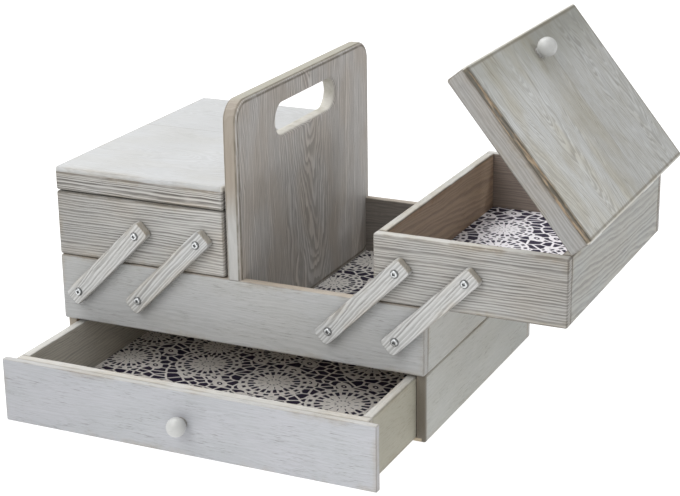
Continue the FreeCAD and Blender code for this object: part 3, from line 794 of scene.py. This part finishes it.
def lining_material(node, wash):
    """Print lace on a card, with its threads toned by a tint: warmer and a little brighter on shaded
    cards, a painted warm bounce light.
    """
    turn, centre = lie_of(node, "XY")[:2]
    material, g, shader = new_material(node)
    place = placed_coordinates(g, centre, turn)
    thread = g.group("lace", Card=place, Spacing=LACE_SPACING, Seed=seed_of(node) * 9)[0]
    tone = g.cloud(place, (0.4, 0.4, 0.4), 4, 0.65)
    pale = Vector(finish().thread) * Vector(wash)
    cloth = g.mix(g.ramp(tone, 0.35, 0.65), pale * 0.86, pale)
    surface(g, shader, g.mix(thread, finish().ground, cloth), g.scaled(tone, 0.2, 0.6),
            g.scaled(tone, 0.3, thread), 0.05 * MM)
    assign(frame["nodes"][node], material)


class SEWINGBOX_OT_linings(bpy.types.Operator):
    """Finish the lace-print lining cards"""
    bl_idname = "sewing_box.linings"
    bl_label = "Linings"

    def execute(self, context):
        # Drawer and middle cards take a warmer tint: painted bounce light from the wood round them.
        for place, wash in (("drawer", (1.04, 1.03, 0.95)), ("middle", (1.04, 1.03, 0.95)),
                            ("left_tray", (1.0, 1.0, 1.0)), ("right_tray", (1.0, 1.0, 1.0))):
            lining_material(place + "_lining", wash)
        return {"FINISHED"}


class SEWINGBOX_OT_plywood(bpy.types.Operator):
    """Finish the plywood bottoms"""
    bl_idname = "sewing_box.plywood"
    bl_label = "Plywood Bottoms"

    def execute(self, context):
        for node in ("case_floor", "drawer_bottom", "middle_bottom", "left_tray_bottom", "right_tray_bottom"):
            board_material(node, "XY", look(
                Pale=(0.50, 0.42, 0.31), Dark=(0.37, 0.29, 0.20), Contrast=0.5, Ring_Width=9.0,
                Pith_Across=-30.0, Pith_Depth=-6.0, Pith_Slope=0.05, Wander=40.0, Wear=0.5, Rub=0.3))
        return {"FINISHED"}


# ---- modelling ----

ROUND_SIDES = 48
# Edges flatter than this many degrees are shaded smooth, on wood and on metal.
WOOD_SMOOTH, METAL_SMOOTH = 50, 40
# A face looks along an axis where its normal goes this far along it.
FACING = 0.9


def start_clean():
    """Object mode, with nothing selected."""
    if bpy.context.object and bpy.context.object.mode != "OBJECT":
        bpy.ops.object.mode_set(mode="OBJECT")
    bpy.ops.object.select_all(action="DESELECT")


def take(*pieces):
    """Selects these pieces alone, and makes the first one active."""
    start_clean()
    for piece in pieces:
        piece.select_set(True)
    bpy.context.view_layer.objects.active = pieces[0]


def begin_shaping():
    """Moves a new primitive's place into its mesh, and enters edit mode."""
    take(bpy.context.object)
    bpy.ops.object.transform_apply(location=True, rotation=True, scale=True)
    bpy.ops.object.mode_set(mode="EDIT")


def pick(element, test):
    """In edit mode, selects the verts, edges or faces that pass the test, and nothing else."""
    bpy.ops.mesh.select_mode(type={"verts": "VERT", "edges": "EDGE", "faces": "FACE"}[element])
    bpy.ops.mesh.select_all(action="DESELECT")
    mesh = bmesh.from_edit_mesh(bpy.context.object.data)
    for item in getattr(mesh, element):
        if test(item):
            item.select_set(True)
    mesh.select_flush_mode()
    bmesh.update_edit_mesh(bpy.context.object.data)


def push(x, y, z):
    """Extrudes what is selected."""
    bpy.ops.mesh.extrude_region_move(TRANSFORM_OT_translate={"value": (x, y, z)})


def widen(factor, height=0.0):
    """Scales what is selected towards or away from the Z axis."""
    bpy.ops.transform.resize(value=(factor, factor, 1), center_override=(0, 0, height))


def rename(piece, name):
    piece.name = name
    piece.data.name = name
    return piece


def close_up(name, smooth_degrees=METAL_SMOOTH):
    """Leaves edit mode with the shape's doubles merged and its faces outwards, smoothed and named."""
    bpy.ops.mesh.select_all(action="SELECT")
    bpy.ops.mesh.remove_doubles(threshold=1e-6)
    bpy.ops.mesh.normals_make_consistent(inside=False)
    bpy.ops.object.mode_set(mode="OBJECT")
    bpy.ops.object.shade_smooth_by_angle(angle=math.radians(smooth_degrees))
    return rename(bpy.context.object, name)


def copy_to(piece, place, name):
    """A copy of a piece, with its own mesh, moved to a place."""
    twin = piece.copy()
    twin.data = piece.data.copy()
    twin.data.transform(place)
    bpy.context.collection.objects.link(twin)
    return rename(twin, name)


def turned_knob():
    """A ball on a short neck with a collar, turned from one piece, standing on the XY plane."""
    f = fittings()
    start_clean()
    bpy.ops.mesh.primitive_uv_sphere_add(segments=ROUND_SIDES, ring_count=36, radius=f.ball,
                                         location=(0, 0, f.reach))
    begin_shaping()
    bite = f.reach - math.sqrt(f.ball ** 2 - f.neck ** 2)
    pick("verts", lambda vert: vert.co.z < bite)
    bpy.ops.mesh.delete(type="VERT")
    pick("edges", lambda edge: edge.is_boundary)
    rim = next(vert.co for vert in bmesh.from_edit_mesh(bpy.context.object.data).verts if vert.select)
    top, radius = rim.z, math.hypot(rim.x, rim.y)
    collar = 0.45 * MM
    eased = 0.98
    push(0, 0, collar * 1.6 - top)
    widen(f.neck / radius)
    push(0, 0, -collar * 0.6)
    widen(f.foot * eased / f.neck)
    push(0, 0, -collar * 0.4)
    widen(1 / eased)
    push(0, 0, -collar * 0.6)
    bpy.ops.mesh.edge_face_add()
    return close_up("knob", WOOD_SMOOTH)


def knob_places():
    """Where the three knobs stand, as node, body and the place that carries +Z to each knob's axis."""
    low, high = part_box("drawer_knob")
    drawer = Matrix.Translation(((low.x + high.x) / 2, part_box("drawer_front")[0].y, (low.z + high.z) / 2)) @ \
        Matrix.Rotation(math.radians(90), 4, "X")
    low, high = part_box("left_lid_knob")
    left = Matrix.Translation(((low.x + high.x) / 2, (low.y + high.y) / 2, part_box("left_lid_top")[1].z))
    return (("drawer_knob", "drawer", drawer), ("left_lid_knob", "left_lid", left),
            ("right_lid_knob", "right_lid", raised_lid_place() @ left))


def knob_material(name, place):
    """White-washed turned wood, thinly lacquered, with a painted shadow line round its foot."""
    material, g, shader = new_material(name)
    where = placed_coordinates(g, place.to_translation(), place.to_3x3().normalized())
    streaks, hairs, stain = g.group(
        "grain", Board=where, Seed=seed_of(name), Ring_Width=2.2, Pith_Across=-9.0, Pith_Depth=3.0,
        Pith_Slope=0.1, Wander=2.0)[1:]
    white = g.mix(g.times(stain, 0.5), (0.50, 0.505, 0.495), (0.43, 0.43, 0.415))
    white = g.mix(g.times(hairs, 0.25), white, (0.30, 0.29, 0.27))
    # Painted shadow where the knob meets the board.
    foot_shadow = g.fall(g.split(where)[2], 0.3, 1.6, 0.75)
    surface(g, shader, g.mix(foot_shadow, white, (0.10, 0.085, 0.07)), g.scaled(streaks, 0.08, 0.40),
            g.scaled(hairs, -0.5, streaks), 0.05 * MM)
    g.fill(shader, Coat_Weight=0.25, Coat_Roughness=0.3)
    return material


class SEWINGBOX_OT_knobs(bpy.types.Operator):
    """Turn the drawer's and lids' ball knobs"""
    bl_idname = "sewing_box.knobs"
    bl_label = "Knobs"

    def execute(self, context):
        pattern = turned_knob()
        for node, body, place in knob_places():
            knob = copy_to(pattern, place, node + "_turned")
            if place.to_3x3().determinant() < 0:
                knob.data.flip_normals()
            assign(knob, knob_material(knob.name, place))
            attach(knob, body)
            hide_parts(node)
        bpy.data.objects.remove(pattern)
        return {"FINISHED"}


# The screw's material slots, where darker zinc on the head's side and in its recess is painted
# shade, and the parts of its head as shares of the head's radius or height.
SLOPE_SLOT, RECESS_SLOT = 1, 2
RECESS_REACH, RECESS_ARM, RECESS_DEPTH, RECESS_NARROW = 0.54, 0.15, 0.75, 0.45
HEAD_ROUND, HEAD_TOP, HEAD_MIDDLE = 0.75, 0.97, 0.62


def cross_cutter(half, arm_width, depth, top):
    """A four-armed block that cuts a cross recess, its arms narrowing downwards."""
    start_clean()
    bpy.ops.mesh.primitive_cube_add(size=arm_width, location=(0, 0, top))
    begin_shaping()
    bpy.ops.mesh.select_all(action="SELECT")
    bpy.ops.transform.resize(value=(1, 1, 2 * depth / arm_width), center_override=(0, 0, top))
    reach = half - arm_width / 2
    for x, y in ((1, 0), (-1, 0), (0, 1), (0, -1)):
        side = Vector((x, y, 0))
        pick("faces", lambda face: face.normal.dot(side) > FACING and
             face.calc_center_median().dot(side) > arm_width * 0.4)
        push(x * reach, y * reach, 0)
    pick("verts", lambda vert: vert.co.z < top)
    widen(RECESS_NARROW, top)
    return close_up("cross")


def pivot_screw():
    """A cross-recessed pan-headed screw along Z: the head stands on the XY plane, the shank goes down."""
    f = fittings()
    start_clean()
    bpy.ops.mesh.primitive_cylinder_add(vertices=ROUND_SIDES, radius=f.head, depth=f.head_rise,
                                        location=(0, 0, f.head_rise / 2))
    begin_shaping()
    pick("edges", lambda edge: min(vert.co.z for vert in edge.verts) > f.head_rise / 2)
    bpy.ops.mesh.bevel(offset=f.head_rise * HEAD_ROUND, segments=6, profile=0.5, affect="EDGES")
    pick("faces", lambda face: face.normal.z < -FACING)
    bpy.ops.mesh.inset(thickness=f.head - f.shank)
    push(0, 0, -SHANK_LENGTH)
    screw = close_up("pivot_screw")
    cutter = cross_cutter(f.head * RECESS_REACH, f.head * RECESS_ARM, f.head_rise * RECESS_DEPTH, f.head_rise)
    take(screw)
    cut = screw.modifiers.new("recess", "BOOLEAN")
    cut.operation = "DIFFERENCE"
    cut.object = cutter
    cut.solver = "EXACT"
    bpy.ops.object.modifier_apply(modifier=cut.name)
    bpy.data.objects.remove(cutter)
    bpy.ops.object.shade_smooth_by_angle(angle=math.radians(METAL_SMOOTH))
    # The recess lies under the middle of the head, and the slopes are the head's side and the shank:
    # both take darker zinc as painted shade.
    for face in screw.data.polygons:
        x, y, z = face.center
        if 0 < z < f.head_rise * HEAD_TOP and math.hypot(x, y) < f.head * HEAD_MIDDLE:
            face.material_index = RECESS_SLOT
        elif abs(face.normal.z) < 0.85:
            face.material_index = SLOPE_SLOT
    return screw


def washer(thickness):
    """A flat washer on the XY plane, its outer edges eased, round the screw's shank."""
    f = fittings()
    eased = thickness * 0.2
    hole = f.shank * 1.04

    def is_disc(face):
        return abs(face.normal.z) > FACING and len(face.verts) == ROUND_SIDES

    start_clean()
    bpy.ops.mesh.primitive_cylinder_add(vertices=ROUND_SIDES, radius=f.washer, depth=thickness,
                                        location=(0, 0, thickness / 2))
    begin_shaping()
    pick("faces", is_disc)
    bpy.ops.mesh.bevel(offset=eased, segments=2, affect="EDGES")
    pick("faces", is_disc)
    bpy.ops.mesh.inset(thickness=f.washer - eased - hole)
    pick("faces", is_disc)
    bpy.ops.mesh.delete(type="ONLY_FACE")
    pick("edges", lambda edge: edge.is_boundary)
    bpy.ops.mesh.bridge_edge_loops()
    return close_up("washer")


FRONT_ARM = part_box("left_outer_arm_front")
TRAY_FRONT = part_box("left_tray_front")[0].y
SHANK_LENGTH = TRAY_FRONT - FRONT_ARM[0].y + 2 * MM
WASHER_PLAY = 0.3 * MM
# How the first screw's recess is turned, and how much further each next one is, in degrees.
SCREW_TURN, TURN_STEP = 23, 37


def pivot_rows():
    """For each node that holds pivot screws, its body and their places."""
    inner_step = joint_place("left_inner_arms_swing") - joint_place("left_arms_swing")
    middle, trays = [], {}
    for side, sign in (("left", 1), ("right", -1)):
        low = joint_place(side + "_arms_swing")
        high = joint_place(side + "_tray_level")
        step = Vector((inner_step.x * sign, 0, 0))
        middle += [low, low + step]
        trays[side] = [high, high + step]
    return (("middle_pivots", "base", middle), ("left_tray_pivots", "left_tray", trays["left"]),
            ("right_tray_pivots", "right_tray", trays["right"]))


def zinc_material(name, share, metallic=1.0):
    """Zinc plate, darkened to a share of its brightness."""
    material, g, shader = new_material(name)
    grey = g.noise(placed_coordinates(g), 3, 0.6)
    tone = Vector(finish().zinc) * share
    g.fill(shader, Base_Color=g.mix(grey, tone * 0.85, tone), Roughness=g.ramp(grey, 0.3, 0.7, 0.24, 0.40),
           Metallic=metallic)
    return material


class SEWINGBOX_OT_pivots(bpy.types.Operator):
    """Make the screws and washers that the arms turn on"""
    bl_idname = "sewing_box.pivots"
    bl_label = "Pivot Screws and Washers"

    def execute(self, context):
        screw = pivot_screw()
        # Plain zinc, and darker zinc for the slopes and the recess: painted shade.
        for finished in (("zinc_plate", 1.0), ("zinc_slope", 0.5), ("zinc_recess", 0.35, 0.8)):
            screw.data.materials.append(zinc_material(*finished))
        ring = washer(TRAY_FRONT - FRONT_ARM[1].y - WASHER_PLAY)
        assign(ring, screw.data.materials[SLOPE_SLOT])
        count = 0
        for node, body, places in pivot_rows():
            made = []
            for place in places:
                for end in (1, -1):
                    outwards = Matrix.Rotation(math.radians(90 * end), 4, "X")
                    spin = Matrix.Rotation(math.radians(SCREW_TURN + TURN_STEP * count), 4, "Z")
                    head = Matrix.Translation((place.x, FRONT_ARM[0].y * end, place.z)) @ outwards @ spin
                    foot = Matrix.Translation((place.x, TRAY_FRONT * end, place.z)) @ outwards
                    made += [copy_to(screw, head, "screw"), copy_to(ring, foot, "washer")]
                    count += 1
            take(*made)
            bpy.ops.object.join()
            piece = rename(made[0], node.replace("pivots", "screws"))
            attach(piece, body)
            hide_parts(node)
        bpy.data.objects.remove(screw)
        bpy.data.objects.remove(ring)
        return {"FINISHED"}


class SEWINGBOX_OT_metal(bpy.types.Operator):
    """Finish the hinges and the hidden screws"""
    bl_idname = "sewing_box.metal"
    bl_label = "Hinges and Hidden Screws"

    def execute(self, context):
        for endings, metal in (("leaves", zinc_material("hinge_steel", 0.8)),
                               ("pins", zinc_material("pin_steel", 0.6)),
                               (("_screw", "_screws"), zinc_material("hidden_screw_zinc", 1.0))):
            for node, piece in frame["nodes"].items():
                if node.endswith(endings):
                    assign(piece, metal)
        return {"FINISHED"}


# ---- stage ----

# Each light's place, and the width of its square.
LIGHTS = {"key": ((-0.6, -2.05, 1.85), 1.9), "top": ((-1.1, 0.3, 2.0), 1.8),
          "fill": ((1.7, -1.4, 1.2), 1.8), "side": ((1.49, 0.54, 1.08), 0.12)}
LIGHT_TARGET = Vector((0, 0, 0.1))
FLOOR_SIZE = 9
CAMERA_PLACE = (0.6295, -1.2572, 0.5814)
# The camera's turn round the box, its tilt down and its roll, in degrees.
CAMERA_TURN, CAMERA_TILT, CAMERA_ROLL = 25.34, 18.96, -0.81
SENSOR_WIDTH = 36


def soft_light(name, power):
    """A square light in its place, aimed at the box."""
    place, width = LIGHTS[name]
    light = bpy.data.lights.new(name, "AREA")
    light.shape = "SQUARE"
    light.size = width
    light.energy = power
    lamp = bpy.data.objects.new(name, light)
    bpy.context.collection.objects.link(lamp)
    lamp.location = place
    lamp.rotation_euler = (LIGHT_TARGET - Vector(place)).to_track_quat("-Z", "Y").to_euler()


def floor_material(tone, glow):
    """A matt floor, very faintly clouded, that glows evenly."""
    material, g, shader = new_material("floor")
    cloud = g.cloud(placed_coordinates(g), (0.004, 0.004, 0.004))
    g.fill(shader, Base_Color=g.mix(cloud, Vector(tone) * 0.98, tone), Roughness=0.9,
           Emission_Color=(1, 1, 1), Emission_Strength=glow)
    return material


def camera_turn():
    """The camera's turn: round the box, then down, then about its own line of sight."""
    return Matrix.Rotation(math.radians(CAMERA_TURN), 4, "Z") @ \
        Matrix.Rotation(math.radians(90 - CAMERA_TILT), 4, "X") @ \
        Matrix.Rotation(math.radians(CAMERA_ROLL), 4, "Z")


class SEWINGBOX_OT_stage(bpy.types.Operator):
    """Add the floor, the lights and the camera"""
    bl_idname = "sewing_box.stage"
    bl_label = "Stage"

    def execute(self, context):
        scene = context.scene
        settings = scene.sewing_box_stage
        start_clean()
        bpy.ops.mesh.primitive_plane_add(size=FLOOR_SIZE)
        floor = bpy.context.object
        floor.name = "floor"
        assign(floor, floor_material(settings.floor, settings.glow))
        for name in LIGHTS:
            soft_light(name, getattr(settings, name))
        scene.world = bpy.data.worlds.new("surroundings")
        scene.world.use_nodes = True
        tree = scene.world.node_tree
        Graph(tree).fill(tree.nodes["Background"], Color=(1, 1, 1), Strength=settings.sky)
        scene.view_settings.view_transform = "Standard"
        lens = bpy.data.cameras.new("camera")
        lens.lens = settings.lens
        lens.sensor_width = SENSOR_WIDTH
        scene.camera = bpy.data.objects.new("camera", lens)
        context.collection.objects.link(scene.camera)
        scene.camera.matrix_world = Matrix.Translation(CAMERA_PLACE) @ camera_turn()
        return {"FINISHED"}


# ---- sidebar panel ----

STEPS = (SEWINGBOX_OT_stage, SEWINGBOX_OT_drawer_case, SEWINGBOX_OT_middle_box, SEWINGBOX_OT_drawer,
         SEWINGBOX_OT_trays, SEWINGBOX_OT_lids, SEWINGBOX_OT_handle, SEWINGBOX_OT_arms,
         SEWINGBOX_OT_plywood, SEWINGBOX_OT_linings, SEWINGBOX_OT_knobs, SEWINGBOX_OT_pivots,
         SEWINGBOX_OT_metal)
GROUPS = {"sewing_box_finish": SewingBoxFinish, "sewing_box_fittings": SewingBoxFittings,
          "sewing_box_stage": SewingBoxStage}


class SEWINGBOX_PT_panel(bpy.types.Panel):
    """Sizes, colours and steps of the sewing box"""
    bl_label = "Sewing Box"
    bl_idname = "SEWINGBOX_PT_panel"
    bl_space_type = "VIEW_3D"
    bl_region_type = "UI"
    bl_category = "Sewing Box"

    def draw(self, context):
        for name, group in GROUPS.items():
            box = self.layout.box()
            box.label(text=group.__doc__)
            for setting in group.__annotations__:
                box.prop(getattr(context.scene, name), setting)
        for step in STEPS:
            self.layout.operator(step.bl_idname)


def register():
    for group in (*GROUPS.values(), *STEPS, SEWINGBOX_PT_panel):
        bpy.utils.register_class(group)
    for name, group in GROUPS.items():
        setattr(bpy.types.Scene, name, bpy.props.PointerProperty(type=group))


def unregister():
    for name in GROUPS:
        delattr(bpy.types.Scene, name)
    for group in (SEWINGBOX_PT_panel, *reversed(STEPS), *reversed(GROUPS.values())):
        bpy.utils.unregister_class(group)


def main():
    register()
    build_shared_groups()
    for step in STEPS:
        getattr(bpy.ops.sewing_box, step.bl_idname.split(".")[1])()


if __name__ == "__main__":
    main()
